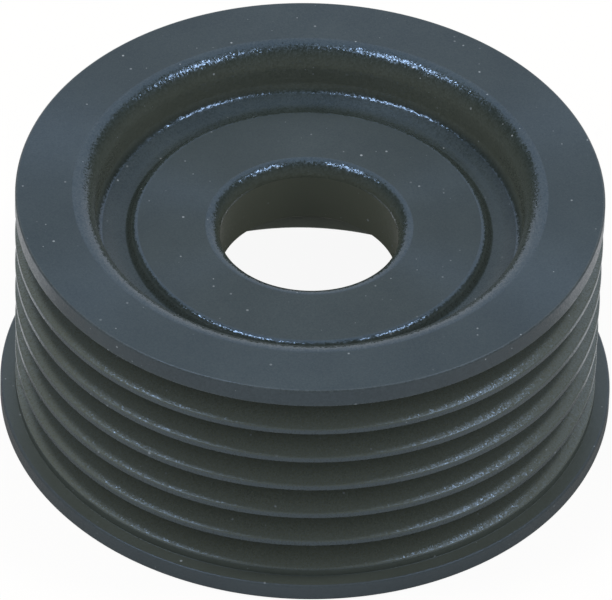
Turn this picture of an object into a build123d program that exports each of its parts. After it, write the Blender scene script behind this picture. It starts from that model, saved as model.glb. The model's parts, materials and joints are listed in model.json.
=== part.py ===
"""Alternator pulley for a multi-rib belt, turned in one piece from a steel blank.

Millimetres, with Z up along the shaft. The origin is the centre of the rear end, on which
the pulley stands. The nut and its washer sit in the recess at the top.
"""
from build123d import *
from math import radians, sin, tan
import os

# Belt face: V grooves with narrow flat-topped ribs between them
outer_diameter = 56.0
groove_count = 6
rib_pitch = 3.56
groove_angle = 40.0
groove_root_radius = 0.45
rib_tip_width = 0.60
rib_tip_radius = 0.20
front_land = 1.94
rear_land = 0.90

# Belt guide flange round the rear end
flange_diameter = 58.9
flange_thickness = 1.80
flange_edge_radius = 0.25

# Rim and the recess in its front
rim_width = 7.6
rim_edge_radius = 0.20
rim_lip_radius = 2.2
recess_floor_width = 3.0
recess_flat_width = 0.9
recess_floor_rise = 18.0
recess_floor_radius = 3.0
recess_corner_radius = 1.0
recess_straight_wall = 0.2

# Hub, which the nut clamps against the shaft's shoulder
hub_setback = 4.2
hub_step = 0.85
hub_side_slope = 37.0
hub_edge_radius = 0.8
hub_foot_fillet = 0.4
hub_thickness = 6.75
bore_diameter = 17.0
bore_entry_radius = 1.4
bore_exit_chamfer = 0.4

# Cavity in the rear, which covers the nose of the alternator
rim_wall = 1.65
cavity_corner_radius = 2.0
cavity_mouth_chamfer = 0.5

# Radii and heights that follow from the sizes above
outer_radius = outer_diameter / 2
flange_radius = flange_diameter / 2
bore_radius = bore_diameter / 2
groove_width = rib_pitch - rib_tip_width
half_angle = radians(groove_angle / 2)
sharp_depth = groove_width / 2 / tan(half_angle)
root_depth = sharp_depth - groove_root_radius * (1 / sin(half_angle) - 1)
height = flange_thickness + rear_land + groove_count * rib_pitch - rib_tip_width + front_land

recess_radius = outer_radius - rim_width
hub_foot_radius = recess_radius - recess_floor_width
hub_face_radius = hub_foot_radius - hub_step * tan(radians(hub_side_slope))
hub_face_height = height - hub_setback
floor_height = hub_face_height - hub_step
rise_foot_radius = hub_foot_radius + recess_flat_width
wall_foot_height = floor_height + (recess_radius - rise_foot_radius) * tan(radians(recess_floor_rise))
web_height = hub_face_height - hub_thickness
cavity_radius = outer_radius - root_depth - rim_wall
corner_room = recess_corner_radius * tan(radians(90 - recess_floor_rise) / 2)
lip_room = height - wall_foot_height - corner_room - recess_straight_wall
lip_radius = min(rim_lip_radius, lip_room)

first_groove = flange_thickness + rear_land + groove_width / 2
groove_heights = [first_groove + i * rib_pitch for i in range(groove_count)]

with BuildPart() as pulley:
    with BuildSketch(Plane.XZ) as section:
        with BuildLine():
            Polyline(
                (bore_radius, web_height),
                (bore_radius, hub_face_height),
                (hub_face_radius, hub_face_height),
                (hub_foot_radius, floor_height),
                (rise_foot_radius, floor_height),
                (recess_radius, wall_foot_height),
                (recess_radius, height),
                (outer_radius, height),
                (outer_radius, flange_thickness),
                (flange_radius, flange_thickness),
                (flange_radius, 0),
                (cavity_radius, 0),
                (cavity_radius, web_height),
                close=True,
            )
        make_face()

        # One V for each groove, cut from the outside to its sharp apex
        with Locations(*[(outer_radius, z) for z in groove_heights]):
            Polygon(
                (-sharp_depth, 0),
                (0, -groove_width / 2),
                (0, groove_width / 2),
                align=None,
                mode=Mode.SUBTRACT,
            )

        def corner(radius, z):
            """The corner of the section at this radius and height."""
            return section.vertices().sort_by_distance((radius, z))[0]

        fillet([corner(outer_radius - sharp_depth, z) for z in groove_heights], groove_root_radius)
        tips = [corner(outer_radius, z + groove_width / 2) for z in groove_heights]
        tips += [corner(outer_radius, z - groove_width / 2) for z in groove_heights]
        fillet(tips, rib_tip_radius)

        fillet(corner(outer_radius, height), rim_edge_radius)
        fillet([corner(flange_radius, z) for z in (0, flange_thickness)], flange_edge_radius)
        fillet(corner(recess_radius, height), lip_radius)
        fillet(corner(recess_radius, wall_foot_height), recess_corner_radius)
        fillet(corner(rise_foot_radius, floor_height), recess_floor_radius)
        fillet(corner(hub_foot_radius, floor_height), hub_foot_fillet)
        fillet(corner(hub_face_radius, hub_face_height), hub_edge_radius)
        fillet(corner(bore_radius, hub_face_height), bore_entry_radius)
        fillet(corner(cavity_radius, web_height), cavity_corner_radius)
        chamfer(corner(bore_radius, web_height), bore_exit_chamfer)
        chamfer(corner(cavity_radius, 0), cavity_mouth_chamfer)
    revolve(axis=Axis.Z)

pulley.part.label = "pulley"
os.makedirs("parts", exist_ok=True)
export_step(pulley.part, "parts/pulley.step")
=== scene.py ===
"""Alternator pulley of black-oxide steel, turned as one body and set in a plain pale studio.

Everything is in metres in the frame's own axes, with +Z along the shaft from the rear end to
the nut side. The sizes and colours are the settings of an add-on, which one operator turns
into the body and another into the stage.
"""
import json
import math
from collections import namedtuple

import bpy
from bpy.props import FloatProperty, FloatVectorProperty, IntProperty, PointerProperty
from mathutils import Matrix, Quaternion, Vector


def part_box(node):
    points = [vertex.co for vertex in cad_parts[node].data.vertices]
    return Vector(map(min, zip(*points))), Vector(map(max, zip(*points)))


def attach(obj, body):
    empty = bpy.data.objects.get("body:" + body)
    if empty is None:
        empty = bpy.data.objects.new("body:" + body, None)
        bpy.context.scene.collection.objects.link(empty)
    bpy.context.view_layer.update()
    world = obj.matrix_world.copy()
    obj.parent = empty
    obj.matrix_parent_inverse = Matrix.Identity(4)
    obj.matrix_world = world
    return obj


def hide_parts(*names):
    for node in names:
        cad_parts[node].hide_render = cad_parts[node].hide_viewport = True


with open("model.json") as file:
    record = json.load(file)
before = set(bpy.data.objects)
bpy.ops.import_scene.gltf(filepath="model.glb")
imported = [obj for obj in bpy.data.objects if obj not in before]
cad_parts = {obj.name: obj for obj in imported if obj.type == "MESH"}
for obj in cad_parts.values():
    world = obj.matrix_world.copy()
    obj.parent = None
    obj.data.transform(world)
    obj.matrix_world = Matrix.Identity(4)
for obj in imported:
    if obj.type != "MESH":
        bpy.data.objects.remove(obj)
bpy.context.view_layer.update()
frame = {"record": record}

bl_info = {
    "name": "Ribbed Belt Pulley",
    "version": (1, 0, 0),
    "blender": (4, 5, 0),
    "location": "View3D > Sidebar > Pulley",
    "description": "Turns a black-oxide alternator pulley and lights it in a plain studio",
    "category": "Object",
}

MM = 0.001

# What the frame already fixes: the overall reach and the places that the mounts give
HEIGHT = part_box("pulley")[1].z
FLANGE_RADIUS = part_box("pulley")[1].x
MOUNTS = {mount["name"]: mount for mount in frame["record"]["mounts"]}
RIB_RADIUS = MOUNTS["belt_face"]["pos_m"][0]
BORE_RADIUS = MOUNTS["shaft_bore"]["dims"]["r_mm"] * MM
HUB_FACE_HEIGHT = MOUNTS["nut_seat"]["pos_m"][2]
WEB_HEIGHT = MOUNTS["shoulder_seat"]["pos_m"][2]

# Fewest facets along a rounded corner of the section
LEAST_CUTS = 3

# Index of refraction of the film: the bare oxide has about 2.4, and oil in its pores lowers it
FILM_IOR = 1.8

# Grain of the blackened steel, drawn as coarse as it needs to be to show
GRAIN_SIZE = 0.14 * MM

# How much thinner the film can be on one grain than on another, and how far a grain's roughness
# can lie from that of its finish
GRAIN_THINNING = 0.6
GLOSS_SPREAD = 0.05

# Soft clouds in which the film is thinner, the thinness at which that starts to show, and the
# thinness at which it shows in full
CLOUD_SIZE = 7 * MM
THIN_START = 0.35
THIN_FULL = 1.25

# A tool mark follows a circle of this radius in the noise, so it swells and fades about nine
# times in a turn
MARK_DRIFT = 1.5

# How far in from the rib tips the belt and handling rub the film thin
RUB_DEPTH = 1.6 * MM

# Dust lies in some of the cells of a coarse pattern. The largest speck's radius and the soft edge
# of each speck are shares of a cell. The higher the power, the fewer the large specks.
DUST_CELL = 0.8 * MM
DUST_RADIUS = 0.18
DUST_EDGE = 0.03
DUST_POWER = 3.0

# Facets of the cloth dome, round and upwards, and of the round tongue of the mat
DOME_COLUMNS = 32
DOME_ROWS = 12
TONGUE_FACETS = 18

# The camera stands towards -Y. Its sensor is in millimetres, and the nearest and the farthest
# that it sees are shares of its distance.
CAMERA_AZIMUTH = math.radians(-90)
SENSOR_WIDTH = 36.0
NEAREST = 0.01
FARTHEST = 10

# A corner of the section: its place, its rounding's radius and zone, and the zone of the straight
# stretch after it, where that is another one
Corner = namedtuple("Corner", "radius height rounding zone after", defaults=[None])

# A point of the rounded section, with the way it faces and the zone of the stretch that it starts
Station = namedtuple("Station", "radius height normal zone")

# Painted fill light, a lighter film colour that stands in for light where shade falls, by how far
# a surface faces up: there is none where the upward part of its normal is at start, and the whole
# share where that is at full
Bloom = namedtuple("Bloom", "start full share")


def even_painted_fill(share):
    """The same painted fill light on every side: no upward part is over 1, so each of them is past full."""
    return Bloom(2, 1, share)


def linear(hex_colour):
    """An sRGB hex colour as the linear red, green and blue that Blender works with."""
    channels = [int(hex_colour[i:i + 2], 16) / 255 for i in (1, 3, 5)]
    return tuple(c / 12.92 if c <= 0.04045 else ((c + 0.055) / 1.055) ** 2.4 for c in channels)


def length(name, description, default):
    """A length property, given in millimetres and kept in metres."""
    return FloatProperty(name=name, description=description, default=default * MM, min=0, unit="LENGTH")


def angle(name, description, default):
    """An angle property, given in degrees and kept in radians."""
    return FloatProperty(name=name, description=description, default=math.radians(default), unit="ROTATION")


def power(name, description, default):
    """A lamp's power, in watts."""
    return FloatProperty(name=name, description=description, default=default, min=0, unit="POWER")


def colour(name, description, default):
    """A colour property, given as sRGB hex and kept linear."""
    return FloatVectorProperty(name=name, description=description, default=linear(default),
                               size=3, min=0, max=1, subtype="COLOR")


class BeltFaceSettings(bpy.types.PropertyGroup):
    """Sizes of the V grooves, the ribs between them and the guide flange."""
    groove_count: IntProperty(name="Grooves", description="Number of V grooves", default=6, min=1)
    rib_pitch: length("Pitch", "From one groove's middle to the next", 3.56)
    groove_angle: angle("Groove Angle", "Between the two flanks of a groove", 40)
    root_radius: length("Root Radius", "Rounding at the bottom of a groove", 0.45)
    tip_width: length("Tip Width", "Flat on a rib between its two flanks, before rounding", 0.60)
    tip_radius: length("Tip Radius", "Rounding of a rib's two edges", 0.20)
    rear_land: length("Rear Land", "Plain band between the last groove and the flange", 0.90)
    flange_thickness: length("Flange", "Thickness of the guide flange", 1.80)
    flange_edge: length("Flange Edge", "Rounding of the flange's two edges", 0.25)


class RimAndHubSettings(bpy.types.PropertyGroup):
    """Sizes of the rim's front, the recess for the nut, the hub and the rear cavity."""
    rim_width: length("Rim Width", "From the rib tips in to the recess wall", 7.6)
    rim_edge: length("Rim Edge", "Rounding of the rim's outer edge", 0.20)
    lip_radius: length("Lip Radius", "Rounding where the rim turns down into the recess", 2.2)
    floor_width: length("Recess Floor", "From the recess wall in to the foot of the hub", 3.0)
    flat_width: length("Flat of the Floor", "Level part of the floor, next to the hub", 0.9)
    floor_rise: angle("Floor Rise", "Climb of the rest of the floor towards the wall", 18)
    floor_bend: length("Floor Bend", "Rounding where the floor starts to rise", 3.0)
    floor_corner: length("Floor Corner", "Rounding at the foot of the recess wall", 1.0)
    hub_step: length("Hub Step", "Height of the hub face above the recess floor", 0.85)
    hub_slope: angle("Hub Slope", "Lean of the hub's side", 37)
    hub_edge: length("Hub Edge", "Rounding at the top of the hub's side", 0.8)
    hub_foot: length("Hub Foot", "Rounding at the foot of the hub's side", 0.4)
    bore_entry: length("Bore Entry", "Rounding at the front of the bore", 1.4)
    bore_exit: length("Bore Exit", "Chamfer at the rear of the bore", 0.4)
    rim_wall: length("Rim Wall", "Metal between the groove roots and the rear cavity", 1.65)
    cavity_corner: length("Cavity Corner", "Rounding between the cavity wall and the web", 2.0)
    cavity_mouth: length("Cavity Mouth", "Chamfer round the mouth of the cavity", 0.5)
    broken_edge: length("Broken Edge", "Deburring on every other edge", 0.06)


class FinishSettings(bpy.types.PropertyGroup):
    """Colours of the black oxide film and of what lies on it."""
    film: colour("Oxide Film", "Black oxide over turned steel", "#262e2c")
    thin_film: colour("Thin Film", "Where the oxide is thinner and the steel shows blue", "#363f3e")
    worn_film: colour("Worn Film", "On the rib tips, where the belt has rubbed the oxide thin", "#5f676d")
    # Painted fill light: this lighter film colour is laid on surfaces in shade, so that they read lighter
    fill_share_film: colour("Dry Film", "Where the oil has drained off and left a dry bloom", "#636a61")
    sheen: colour("Film Reflection", "Tint of the light that the film reflects", "#a0c8ff")
    # Reflection tint of the bore and the rear cavity, whose film colour carries painted fill light
    hollow_sheen: colour("Dry Film Reflection", "Tint of the light that the dry film reflects", "#e0ecdc")
    dust: colour("Dust", "Specks of dust and swarf", "#89939b")


class StudioSettings(bpy.types.PropertyGroup):
    """The camera, the two soft lamps and the pale surroundings."""
    camera_distance: length("Camera Distance", "From the middle of the rim's front plane", 828.47)
    camera_elevation: angle("Camera Elevation", "Above the floor", 41.165)
    camera_pan: angle("Pan", "Turn of the view to the left of that middle", 0.0086)
    camera_tilt: angle("Tilt", "Turn of the view below that middle", 0.710)
    camera_roll: angle("Roll", "Turn of the camera about its own line of sight", 1.635)
    focal_length: FloatProperty(name="Focal Length", description="On a sensor 36 mm wide",
                                default=513.85, min=1, unit="CAMERA")
    lamp_distance: length("Lamp Distance", "From the middle of the pulley", 500)
    left_azimuth: angle("Left Lamp Azimuth", "Counted from +X towards +Y", 176)
    left_elevation: angle("Left Lamp Elevation", "Above the floor", 73)
    left_width: length("Left Lamp Width", "Side of the square soft box", 100)
    left_power: power("Left Lamp Power", "Of the soft box", 0.88)
    right_azimuth: angle("Right Lamp Azimuth", "Counted from +X towards +Y", 4)
    right_elevation: angle("Right Lamp Elevation", "Above the floor", 65)
    right_width: length("Right Lamp Width", "Side of the square soft box", 80)
    right_power: power("Right Lamp Power", "Of the soft box", 0.68)
    lamp_colour: colour("Lamp Colour", "Warm white of both soft boxes", "#fff5eb")
    ambient: FloatProperty(name="Ambient", description="Strength of the pale room as a light",
                           default=0.62, min=0)
    screen_distance: length("Screen Distance", "Radius of the dome of dark cloth", 1400)
    screen_start: angle("Screen Start", "Azimuth at which the dark cloth starts", 127)
    screen_end: angle("Screen End", "Azimuth at which the dark cloth ends", 407)
    screen: colour("Screen", "Black cloth", "#1a1a1a")
    # The mat is painted shade: seen only in reflections, its grey darkens the floor near and under the
    # pulley
    mat_width: length("Mat Width", "Of the grey mat in front of the pulley", 800)
    mat_tongue: length("Mat Tongue", "Radius of the round part that lies under the pulley", 20.5)
    mat_lift: length("Mat Lift", "Height of the mat above the floor", 0.05)
    mat: colour("Mat", "Grey felt", "#a8a8a8")
    room: colour("Room", "Walls and ceiling round the object", "#ffffff")
    floor: colour("Floor", "Matt pale floor", "#f4f4f2")
    floor_lift: FloatProperty(name="Floor Lift", description="Share of plain white in what is seen of it",
                              default=0.93, min=0, max=1, subtype="FACTOR")
    floor_width: length("Floor Width", "Side of the square floor", 3000)


def section_corners(belt, hub):
    """Corners of the pulley's half section, counterclockwise from the rear of the bore."""
    groove_width = belt.rib_pitch - belt.tip_width
    sharp_depth = groove_width / 2 / math.tan(belt.groove_angle / 2)
    root_depth = sharp_depth - belt.root_radius * (1 / math.sin(belt.groove_angle / 2) - 1)
    cavity_radius = RIB_RADIUS - root_depth - hub.rim_wall
    recess_radius = RIB_RADIUS - hub.rim_width
    floor_height = HUB_FACE_HEIGHT - hub.hub_step
    foot_radius = recess_radius - hub.floor_width
    rise_radius = foot_radius + hub.flat_width
    wall_foot = floor_height + (recess_radius - rise_radius) * math.tan(hub.floor_rise)
    face_radius = foot_radius - hub.hub_step * math.tan(hub.hub_slope)
    first_groove = belt.flange_thickness + belt.rear_land + groove_width / 2
    edge = hub.broken_edge

    corners = [
        Corner(BORE_RADIUS + hub.bore_exit, WEB_HEIGHT, edge, "web"),
        Corner(cavity_radius, WEB_HEIGHT, hub.cavity_corner, "web"),
        Corner(cavity_radius, hub.cavity_mouth, edge, "web"),
        Corner(cavity_radius + hub.cavity_mouth, 0, edge, "face"),
        Corner(FLANGE_RADIUS, 0, belt.flange_edge, "edge"),
        Corner(FLANGE_RADIUS, belt.flange_thickness, belt.flange_edge, "edge", "foot"),
        Corner(RIB_RADIUS, belt.flange_thickness, edge, "foot"),
    ]
    for i in range(belt.groove_count):
        middle = first_groove + i * belt.rib_pitch
        corners += [
            Corner(RIB_RADIUS, middle - groove_width / 2, belt.tip_radius, "belt"),
            Corner(RIB_RADIUS - sharp_depth, middle, belt.root_radius, "belt"),
            Corner(RIB_RADIUS, middle + groove_width / 2, belt.tip_radius, "belt"),
        ]
    # The front land starts after the last groove
    corners[-1] = corners[-1]._replace(after="edge")
    corners += [
        Corner(RIB_RADIUS, HEIGHT, hub.rim_edge, "edge", "face"),
        Corner(recess_radius, HEIGHT, hub.lip_radius, "recess"),
        Corner(recess_radius, wall_foot, hub.floor_corner, "recess", "floor"),
        Corner(rise_radius, floor_height, hub.floor_bend, "floor"),
        Corner(foot_radius, floor_height, hub.hub_foot, "floor"),
        Corner(face_radius, HUB_FACE_HEIGHT, hub.hub_edge, "recess", "hub"),
        Corner(BORE_RADIUS, HUB_FACE_HEIGHT, hub.bore_entry, "recess", "bore"),
        Corner(BORE_RADIUS, WEB_HEIGHT + hub.bore_exit, edge, "bore"),
    ]
    return corners


def rounded(corners, step):
    """Stations along the closed section: each corner becomes a tangent arc, cut into turns of about step."""
    stations = []
    for i, corner in enumerate(corners):
        here = Vector((corner.radius, corner.height))
        last, following = corners[i - 1], corners[(i + 1) % len(corners)]
        before = (here - Vector((last.radius, last.height))).normalized()
        after = (Vector((following.radius, following.height)) - here).normalized()

        # The section turns left at an outer corner, where the arc bulges out, and right at an inner one
        turn = math.atan2(before.cross(after), before.dot(after))
        bulge = math.copysign(corner.rounding, turn)
        start = here - before * corner.rounding * math.tan(abs(turn) / 2)
        first_normal = Vector((before.y, -before.x))
        centre = start - first_normal * bulge
        cuts = max(LEAST_CUTS, math.ceil(abs(turn) / step))
        for cut in range(cuts + 1):
            normal = Matrix.Rotation(turn * cut / cuts, 2) @ first_normal
            place = centre + normal * bulge
            zone = corner.after if corner.after and cut == cuts else corner.zone
            stations.append(Station(place.x, place.y, normal, zone))
    return stations


def revolved(name, stations, segments, zones):
    """A closed mesh of the section turned round Z, which shades as a true surface by its exact normals."""
    count = len(stations)
    places, normals, faces, slots = [], [], [], []
    for i in range(segments):
        turn = math.tau * i / segments
        cosine, sine = math.cos(turn), math.sin(turn)
        ring, next_ring = i * count, (i + 1) % segments * count
        for j, station in enumerate(stations):
            places.append((station.radius * cosine, station.radius * sine, station.height))
            normals.append((station.normal.x * cosine, station.normal.x * sine, station.normal.y))
            k = (j + 1) % count
            faces.append((ring + j, next_ring + j, next_ring + k, ring + k))
            slots.append(zones.index(station.zone))
    mesh = bpy.data.meshes.new(name)
    mesh.from_pydata(places, [], faces, shade_flat=False)
    mesh.polygons.foreach_set("material_index", slots)
    mesh.normals_split_custom_set_from_vertices(normals)
    if mesh.validate():
        raise RuntimeError(f"{name}: the section crosses itself, so its faces are bad")
    return mesh


def add_node(tree, kind, links=None, inputs=None, **settings):
    """Adds a node with its settings, the values of its inputs and the outputs that they are linked to."""
    node = tree.nodes.new(kind)
    for key, value in settings.items():
        setattr(node, key, value)
    for key, value in (inputs or {}).items():
        node.inputs[key].default_value = value
    for key, output in (links or {}).items():
        tree.links.new(output, node.inputs[key])
    return node


def empty_material(name):
    """A new material without nodes, and its node tree."""
    material = bpy.data.materials.new(name)
    material.use_nodes = True
    material.node_tree.nodes.clear()
    return material, material.node_tree


def tool_marks(tree, place, cut_pitch, cut_depth):
    """Fine rings that the tool cut round the axis. Gives the distance from it and the marked normal."""
    flat = add_node(tree, "ShaderNodeVectorMath", {0: place}, operation="MULTIPLY", inputs={1: (1, 1, 0)})
    distance = add_node(tree, "ShaderNodeVectorMath", {0: flat.outputs[0]}, operation="LENGTH")
    radius = distance.outputs["Value"]
    around = add_node(tree, "ShaderNodeVectorMath", {0: flat.outputs[0]}, operation="NORMALIZE")
    axes = add_node(tree, "ShaderNodeSeparateXYZ", {0: place}).outputs

    # Radius plus height grows or falls from one pass of the tool to the next, on nearly all of the section
    along = add_node(tree, "ShaderNodeMath", {0: radius, 1: axes["Z"]}, operation="ADD")
    passes = add_node(tree, "ShaderNodeMath", {0: along.outputs[0]}, operation="MULTIPLY",
                      inputs={1: 1 / cut_pitch})
    passes_place = add_node(tree, "ShaderNodeCombineXYZ", {"Z": passes.outputs[0]})
    marks_place = add_node(tree, "ShaderNodeVectorMath", {0: around.outputs[0], 2: passes_place.outputs[0]},
                           operation="MULTIPLY_ADD", inputs={1: (MARK_DRIFT, MARK_DRIFT, 0)})
    marks = add_node(tree, "ShaderNodeTexNoise", {"Vector": marks_place.outputs[0]},
                     inputs={"Scale": 1.0, "Detail": 2.0, "Roughness": 0.6})
    marked = add_node(tree, "ShaderNodeBump", {"Height": marks.outputs[0]},
                      inputs={"Strength": 1.0, "Distance": cut_depth})
    return radius, marked.outputs[0]


def grain(tree, place, marked, tilt):
    """Grains as small facets, each with its own lean. Gives a random number for each and their normal."""
    cells = add_node(tree, "ShaderNodeTexVoronoi", {"Vector": place}, inputs={"Scale": 1 / GRAIN_SIZE})
    chance = add_node(tree, "ShaderNodeSeparateColor", {0: cells.outputs["Color"]}).outputs[2]

    # A random colour is grey on average, so what is left without the grey leans all ways alike
    lean = add_node(tree, "ShaderNodeVectorMath", {0: cells.outputs["Color"]}, operation="SUBTRACT",
                    inputs={1: (0.5, 0.5, 0.5)})
    facet = add_node(tree, "ShaderNodeVectorMath", {0: lean.outputs[0], 2: marked},
                     operation="MULTIPLY_ADD", inputs={1: (tilt, tilt, tilt)})
    normal = add_node(tree, "ShaderNodeVectorMath", {0: facet.outputs[0]}, operation="NORMALIZE")
    return chance, normal.outputs[0]


def oxide_film(tree, finish, place, radius, chance, rub, painted_fill):
    """Colour of the film: thinner in places, rubbed near the rib tips and lighter as painted fill light in
    shade.
    """
    # The film is a little thinner on some grains, and in soft clouds a few millimetres across
    clouds = add_node(tree, "ShaderNodeTexNoise", {"Vector": place},
                      inputs={"Scale": 1 / CLOUD_SIZE, "Detail": 4.0, "Roughness": 0.6})
    thinness = add_node(tree, "ShaderNodeMath", {0: chance, 2: clouds.outputs[0]}, operation="MULTIPLY_ADD",
                        inputs={1: GRAIN_THINNING})
    thin = add_node(tree, "ShaderNodeMapRange", {"Value": thinness.outputs[0]},
                    inputs={"From Min": THIN_START, "From Max": THIN_FULL})
    oxide = add_node(tree, "ShaderNodeMix", {"Factor": thin.outputs[0]}, data_type="RGBA",
                     inputs={"A": (*finish.film, 1), "B": (*finish.thin_film, 1)})

    # Rubbing reaches in from the rib tips, further on some grains than on others
    reach = add_node(tree, "ShaderNodeMath", {0: chance, 2: radius}, operation="MULTIPLY_ADD",
                     inputs={1: RUB_DEPTH / 2})
    rubbed = add_node(tree, "ShaderNodeMapRange", {"Value": reach.outputs[0]},
                      inputs={"From Min": RIB_RADIUS - RUB_DEPTH, "From Max": RIB_RADIUS + RUB_DEPTH / 2,
                              "To Max": rub})
    worn = add_node(tree, "ShaderNodeMix", {"Factor": rubbed.outputs[0], "A": oxide.outputs["Result"]},
                    data_type="RGBA", inputs={"B": (*finish.worn_film, 1)})

    # Painted fill light: the lighter colour goes by how far the surface faces up, and so by where shade
    # falls
    surface = add_node(tree, "ShaderNodeNewGeometry").outputs
    facing = add_node(tree, "ShaderNodeSeparateXYZ", {0: surface["Normal"]}).outputs
    fill_share = add_node(tree, "ShaderNodeMapRange", {"Value": facing["Z"]},
                   inputs={"From Min": painted_fill.start, "From Max": painted_fill.full, "To Max": painted_fill.share})
    fill_lifted = add_node(tree, "ShaderNodeMix", {"Factor": fill_share.outputs[0], "A": worn.outputs["Result"]},
                       data_type="RGBA", inputs={"B": (*finish.fill_share_film, 1)})
    return fill_lifted.outputs["Result"]


def dusted(tree, finish, place, film):
    """The film's colour with dust on it, in round specks of several sizes."""
    cells = add_node(tree, "ShaderNodeTexVoronoi", {"Vector": place}, inputs={"Scale": 1 / DUST_CELL})
    luck = add_node(tree, "ShaderNodeSeparateColor", {0: cells.outputs["Color"]}).outputs
    rarity = add_node(tree, "ShaderNodeMath", {0: luck[0]}, operation="POWER", inputs={1: DUST_POWER})
    size = add_node(tree, "ShaderNodeMath", {0: rarity.outputs[0]}, operation="MULTIPLY",
                    inputs={1: DUST_RADIUS})
    inside = add_node(tree, "ShaderNodeMath", {0: size.outputs[0], 1: cells.outputs["Distance"]},
                      operation="SUBTRACT")
    speck = add_node(tree, "ShaderNodeMapRange", {"Value": inside.outputs[0], "To Max": luck[1]},
                     inputs={"From Min": 0, "From Max": DUST_EDGE})
    skin = add_node(tree, "ShaderNodeMix", {"Factor": speck.outputs[0], "A": film}, data_type="RGBA",
                    inputs={"B": (*finish.dust, 1)})
    return skin.outputs["Result"]


def black_oxide(name, finish, *, sheen, cut_pitch, cut_depth, tilt, roughness, level, stretch=0, rub=0,
                painted_fill=even_painted_fill(0)):
    """Steel blackened in a hot oxide bath. The film is dark and thin, so it keeps the tool marks and the
    fine grain of the steel below, glints where a grain faces a lamp and turns blue where it reflects a
    pale room. Painted fill light lightens the film on surfaces that lie in shade, and where the belt
    rubs, the film is thinner."""
    material, tree = empty_material(name)
    place = add_node(tree, "ShaderNodeTexCoord").outputs["Object"]
    radius, marked = tool_marks(tree, place, cut_pitch, cut_depth)
    chance, normal = grain(tree, place, marked, tilt)
    film = oxide_film(tree, finish, place, radius, chance, rub, painted_fill)
    skin = dusted(tree, finish, place, film)
    gloss = add_node(tree, "ShaderNodeMapRange", {"Value": chance},
                     inputs={"To Min": roughness - GLOSS_SPREAD, "To Max": roughness + GLOSS_SPREAD})
    shader = add_node(tree, "ShaderNodeBsdfPrincipled",
                      {"Base Color": skin, "Roughness": gloss.outputs[0], "Normal": normal},
                      inputs={"IOR": FILM_IOR, "Specular IOR Level": level, "Specular Tint": (*sheen, 1)})
    if stretch:
        tangent = add_node(tree, "ShaderNodeTangent", direction_type="RADIAL", axis="Z")
        tree.links.new(tangent.outputs[0], shader.inputs["Tangent"])
        shader.inputs["Anisotropic"].default_value = stretch
    add_node(tree, "ShaderNodeOutputMaterial", {"Surface": shader.outputs[0]})
    return material


def faced_steel(finish):
    """Rim's front and the flange's rear, faced with a fine feed: rings too fine to see one by one, which
    draw the light out."""
    return black_oxide("black_oxide_faced_steel", finish, sheen=finish.sheen,
                       cut_pitch=0.16 * MM, cut_depth=0.002 * MM, tilt=0.05, roughness=0.36, level=0.34,
                       stretch=0.85)


def clamped_steel(finish):
    """Hub face, faced like the rim but dulled where washers have been clamped on it."""
    return black_oxide("black_oxide_clamped_steel", finish, sheen=finish.sheen,
                       cut_pitch=0.16 * MM, cut_depth=0.002 * MM, tilt=0.05, roughness=0.36, level=0.27,
                       stretch=0.85, painted_fill=even_painted_fill(0.04))


def form_turned_steel(finish):
    """Ribs and grooves, cut by a form tool, with a bright grain on the rubbed crests. Painted fill light
    lightens the upward flanks, which lie in the shade of the rib above.
    """
    return black_oxide("black_oxide_form_turned_steel", finish, sheen=finish.sheen,
                       cut_pitch=0.30 * MM, cut_depth=0.003 * MM, tilt=0.16, roughness=0.30, level=0.38,
                       rub=0.27, painted_fill=Bloom(-0.2, 0.9, 0.8))


def fill_lifted_steel(finish):
    """Top of the flange and the land next to it: dull, and evenly lightened by painted fill light, as they
    lie in the shade of the ribs above.
    """
    return black_oxide("black_oxide_drained_steel", finish, sheen=finish.sheen,
                       cut_pitch=0.30 * MM, cut_depth=0.003 * MM, tilt=0.08, roughness=0.42, level=0.30,
                       painted_fill=even_painted_fill(0.4))


def recess_steel(finish):
    """Recess, its rounded lip and the mouth of the bore: a coarser cut with a bright, sparkling grain.
    Painted fill light lightens its steep walls, which lie in the recess's shade.
    """
    return black_oxide("black_oxide_recess_steel", finish, sheen=finish.sheen,
                       cut_pitch=0.22 * MM, cut_depth=0.003 * MM, tilt=0.17, roughness=0.21, level=0.45,
                       painted_fill=Bloom(0.85, 0, 0.74))


def floor_steel(finish):
    """Floor of the recess and the hub's side, cut like the rest of it but duller, with a little painted
    fill light on the steep hub side, which lies in shade.
    """
    return black_oxide("black_oxide_floor_steel", finish, sheen=finish.sheen,
                       cut_pitch=0.22 * MM, cut_depth=0.003 * MM, tilt=0.07, roughness=0.30, level=0.23,
                       painted_fill=Bloom(0.8, 0, 0.3))


def bored_steel(finish):
    """Inside of the bore: dull, and evenly lightened by painted fill light, as the bore lies in shade."""
    return black_oxide("black_oxide_bored_steel", finish, sheen=finish.hollow_sheen,
                       cut_pitch=0.22 * MM, cut_depth=0.003 * MM, tilt=0.06, roughness=0.45, level=0.12,
                       painted_fill=even_painted_fill(0.9))


def rough_turned_steel(finish):
    """Rear cavity and web, which nothing touches: rough-turned with rings wide enough to see. Painted
    fill light lightens them evenly, as they lie in the shade under the pulley.
    """
    return black_oxide("black_oxide_rough_turned_steel", finish, sheen=finish.hollow_sheen,
                       cut_pitch=0.45 * MM, cut_depth=0.010 * MM, tilt=0.10, roughness=0.42, level=0.27,
                       painted_fill=even_painted_fill(0.6))


def handled_steel(finish):
    """Rim's outer edge and front land, and the flange's edge, which fingers and crates rub a little thin."""
    return black_oxide("black_oxide_handled_steel", finish, sheen=finish.sheen,
                       cut_pitch=0.20 * MM, cut_depth=0.002 * MM, tilt=0.14, roughness=0.38, level=0.25,
                       rub=0.36)


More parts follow.
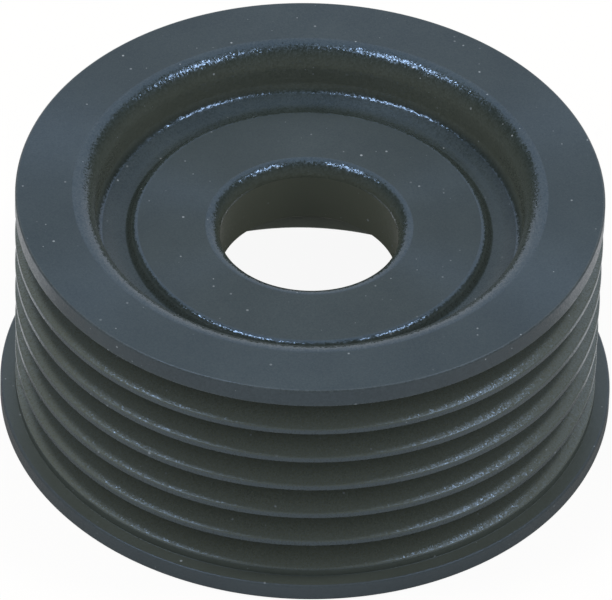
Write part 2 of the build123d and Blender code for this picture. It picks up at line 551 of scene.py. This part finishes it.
def seen_directly(tree):
    """1 for rays from the camera, a reflection or glass, and 0 for the light that falls on things."""
    path = add_node(tree, "ShaderNodeLightPath").outputs
    mirrored = add_node(tree, "ShaderNodeMath", {0: path["Is Camera Ray"], 1: path["Is Glossy Ray"]},
                        operation="MAXIMUM")
    through = add_node(tree, "ShaderNodeMath", {0: mirrored.outputs[0], 1: path["Is Transmission Ray"]},
                       operation="MAXIMUM")
    return through.outputs[0]


def pale_room(studio):
    """The world: white where it is seen or reflected, and a weak even light otherwise."""
    world = bpy.data.worlds.new("pale_room")
    bpy.context.scene.world = world
    world.use_nodes = True
    tree = world.node_tree
    tree.nodes.clear()
    strength = add_node(tree, "ShaderNodeMapRange", {"Value": seen_directly(tree)},
                        inputs={"To Min": studio.ambient, "To Max": 1.0})
    light = add_node(tree, "ShaderNodeBackground", {"Strength": strength.outputs[0]},
                     inputs={"Color": (*studio.room, 1)})
    add_node(tree, "ShaderNodeOutputWorld", {"Surface": light.outputs[0]})


def matt_floor(studio):
    """Matt pale paint. Where it is seen, it is lifted towards white, which keeps the shadow a soft grey."""
    material, tree = empty_material("matt_pale_floor")
    paint = add_node(tree, "ShaderNodeBsdfDiffuse", inputs={"Color": (*studio.floor, 1)})
    white = add_node(tree, "ShaderNodeEmission", inputs={"Color": (*studio.room, 1), "Strength": 1.0})
    lift = add_node(tree, "ShaderNodeMath", {0: seen_directly(tree)}, operation="MULTIPLY",
                    inputs={1: studio.floor_lift})
    mixed = add_node(tree, "ShaderNodeMixShader",
                     {0: lift.outputs[0], 1: paint.outputs[0], 2: white.outputs[0]})
    add_node(tree, "ShaderNodeOutputMaterial", {"Surface": mixed.outputs[0]})
    return material


def matt_cloth(name, shade):
    """Cotton or felt: quite matt, so a face that reflects it shows little but its own colour."""
    material, tree = empty_material(name)
    cloth = add_node(tree, "ShaderNodeBsdfDiffuse", inputs={"Color": (*shade, 1)})
    add_node(tree, "ShaderNodeOutputMaterial", {"Surface": cloth.outputs[0]})
    return material


def polar(azimuth, elevation, distance):
    """A point at that distance from the origin, azimuth counted from +X towards +Y."""
    level = distance * math.cos(elevation)
    return Vector((level * math.cos(azimuth), level * math.sin(azimuth), distance * math.sin(elevation)))


class PULLEY_OT_turn_body(bpy.types.Operator):
    """Turn the pulley's body from its section and give each of its surfaces its own finish"""
    bl_idname = "pulley.turn_body"
    bl_label = "Turn Body"
    bl_options = {"REGISTER", "UNDO"}

    segments: IntProperty(name="Segments", description="Flat facets round the body", default=384, min=32)
    arc_step: angle("Arc Step", "Turn of each facet along a rounded corner", 13)

    def execute(self, context):
        settings = context.scene.pulley
        # One zone for each way in which a surface was cut or has been touched, and for the painted fill
        # light that it gets
        zones = {
            "face": faced_steel, "hub": clamped_steel, "belt": form_turned_steel, "foot": fill_lifted_steel,
            "recess": recess_steel, "bore": bored_steel, "web": rough_turned_steel, "edge": handled_steel,
            "floor": floor_steel,
        }
        stations = rounded(section_corners(settings.belt, settings.hub), self.arc_step)
        mesh = revolved("pulley_body", stations, self.segments, list(zones))
        for steel in zones.values():
            mesh.materials.append(steel(settings.finish))
        body = bpy.data.objects.new("pulley_body", mesh)
        context.scene.collection.objects.link(body)
        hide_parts("pulley")
        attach(body, "root")
        return {"FINISHED"}


class PULLEY_OT_set_stage(bpy.types.Operator):
    """Lay the floor, light the room with two soft boxes and place the camera"""
    bl_idname = "pulley.set_stage"
    bl_label = "Set Stage"
    bl_options = {"REGISTER", "UNDO"}

    def execute(self, context):
        studio = context.scene.pulley.studio
        context.scene.view_settings.view_transform = "Standard"
        pale_room(studio)
        self.lay_floor(context, studio)
        self.hang_screen(context, studio)
        self.lay_mat(context, studio)
        for side in ("left", "right"):
            self.hang_lamp(context, studio, side)
        self.place_camera(context, studio)
        return {"FINISHED"}

    def lay_floor(self, context, studio):
        """A square floor in the plane that the pulley stands on."""
        half = studio.floor_width / 2
        corners = [(-half, -half, 0), (half, -half, 0), (half, half, 0), (-half, half, 0)]
        mesh = bpy.data.meshes.new("floor")
        mesh.from_pydata(corners, [], [(0, 1, 2, 3)])
        mesh.materials.append(matt_floor(studio))
        floor = bpy.data.objects.new("floor", mesh)
        context.scene.collection.objects.link(floor)

    def hang_screen(self, context, studio):
        """A dome of black cloth round the pulley, open behind it as the camera sees it."""
        places, faces = [], []
        for i in range(DOME_COLUMNS + 1):
            azimuth = studio.screen_start + (studio.screen_end - studio.screen_start) * i / DOME_COLUMNS
            for j in range(DOME_ROWS + 1):
                places.append(polar(azimuth, math.radians(90) * j / DOME_ROWS, studio.screen_distance))
                if i and j:
                    k = i * (DOME_ROWS + 1) + j
                    faces.append((k, k - 1, k - DOME_ROWS - 2, k - DOME_ROWS - 1))
        cotton = matt_cloth("black_cotton_screen", studio.screen)
        self.place_flag(context, "dark_screen", places, faces, cotton)

    def lay_mat(self, context, studio):
        """A grey mat in front of the pulley, with a round tongue that reaches under it. Seen only in
        reflections, its grey is painted shade on the reflected floor near and under the pulley.
        """
        half = studio.mat_width / 2
        turns = [math.pi * i / TONGUE_FACETS for i in range(TONGUE_FACETS + 1)]
        outline = [(-half, 0), (-half, -half), (half, -half), (half, 0)]
        outline += [polar(turn, 0, studio.mat_tongue).xy for turn in turns]
        places = [(x, y, studio.mat_lift) for x, y in outline]
        felt = matt_cloth("grey_felt_mat", studio.mat)
        self.place_flag(context, "grey_mat", places, [range(len(places))], felt)

    def place_flag(self, context, name, places, faces, material):
        """Only reflections show a flag. It takes no light from the pulley, so the room stays pale."""
        mesh = bpy.data.meshes.new(name)
        mesh.from_pydata(places, [], faces)
        mesh.materials.append(material)
        flag = bpy.data.objects.new(name, mesh)
        flag.visible_camera = False
        flag.visible_diffuse = False
        flag.visible_transmission = False
        flag.visible_shadow = False
        context.scene.collection.objects.link(flag)

    def hang_lamp(self, context, studio, side):
        """A square soft box on that side, turned towards the middle of the pulley."""
        name = f"soft_box_{side}"
        data = bpy.data.lights.new(name, "AREA")
        data.size = getattr(studio, f"{side}_width")
        data.energy = getattr(studio, f"{side}_power")
        data.color = studio.lamp_colour
        lamp = bpy.data.objects.new(name, data)
        azimuth = getattr(studio, f"{side}_azimuth")
        elevation = getattr(studio, f"{side}_elevation")
        outward = polar(azimuth, elevation, studio.lamp_distance)
        lamp.location = Vector((0, 0, HEIGHT / 2)) + outward
        lamp.rotation_euler = (-outward).to_track_quat("-Z", "Y").to_euler()
        context.scene.collection.objects.link(lamp)

    def place_camera(self, context, studio):
        """The camera looks past the middle of the rim's front plane by its pan, tilt and roll."""
        data = bpy.data.cameras.new("camera")
        data.sensor_width = SENSOR_WIDTH
        data.lens = studio.focal_length
        data.clip_start = studio.camera_distance * NEAREST
        data.clip_end = studio.camera_distance * FARTHEST
        camera = bpy.data.objects.new("camera", data)
        outward = polar(CAMERA_AZIMUTH, studio.camera_elevation, studio.camera_distance)
        camera.location = Vector((0, 0, HEIGHT)) + outward
        turned = (-outward).to_track_quat("-Z", "Y")
        turned @= Quaternion((0, 1, 0), studio.camera_pan)
        turned @= Quaternion((1, 0, 0), -studio.camera_tilt)
        turned @= Quaternion((0, 0, 1), studio.camera_roll)
        camera.rotation_euler = turned.to_euler()
        context.scene.collection.objects.link(camera)
        context.scene.camera = camera


class PulleySettings(bpy.types.PropertyGroup):
    """All the settings of the pulley and its stage."""
    belt: PointerProperty(type=BeltFaceSettings)
    hub: PointerProperty(type=RimAndHubSettings)
    finish: PointerProperty(type=FinishSettings)
    studio: PointerProperty(type=StudioSettings)


class PULLEY_PT_sidebar(bpy.types.Panel):
    """The pulley's operators, each above the settings that it reads."""
    bl_idname = "PULLEY_PT_sidebar"
    bl_label = "Ribbed Belt Pulley"
    bl_space_type = "VIEW_3D"
    bl_region_type = "UI"
    bl_category = "Pulley"

    def draw(self, context):
        settings = context.scene.pulley
        parts = {
            PULLEY_OT_turn_body: (settings.belt, settings.hub, settings.finish),
            PULLEY_OT_set_stage: (settings.studio,),
        }
        for operator, groups in parts.items():
            self.layout.operator(operator.bl_idname)
            for group in groups:
                box = self.layout.box()
                for name in group.bl_rna.properties.keys():
                    if name not in {"rna_type", "name"}:
                        box.prop(group, name)


CLASSES = (
    BeltFaceSettings, RimAndHubSettings, FinishSettings, StudioSettings, PulleySettings,
    PULLEY_OT_turn_body, PULLEY_OT_set_stage, PULLEY_PT_sidebar,
)


def register():
    for cls in CLASSES:
        bpy.utils.register_class(cls)
    bpy.types.Scene.pulley = PointerProperty(type=PulleySettings)


def unregister():
    del bpy.types.Scene.pulley
    for cls in reversed(CLASSES):
        bpy.utils.unregister_class(cls)


def main():
    """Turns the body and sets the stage."""
    register()
    bpy.ops.pulley.turn_body()
    bpy.ops.pulley.set_stage()


if __name__ == "__main__":
    main()
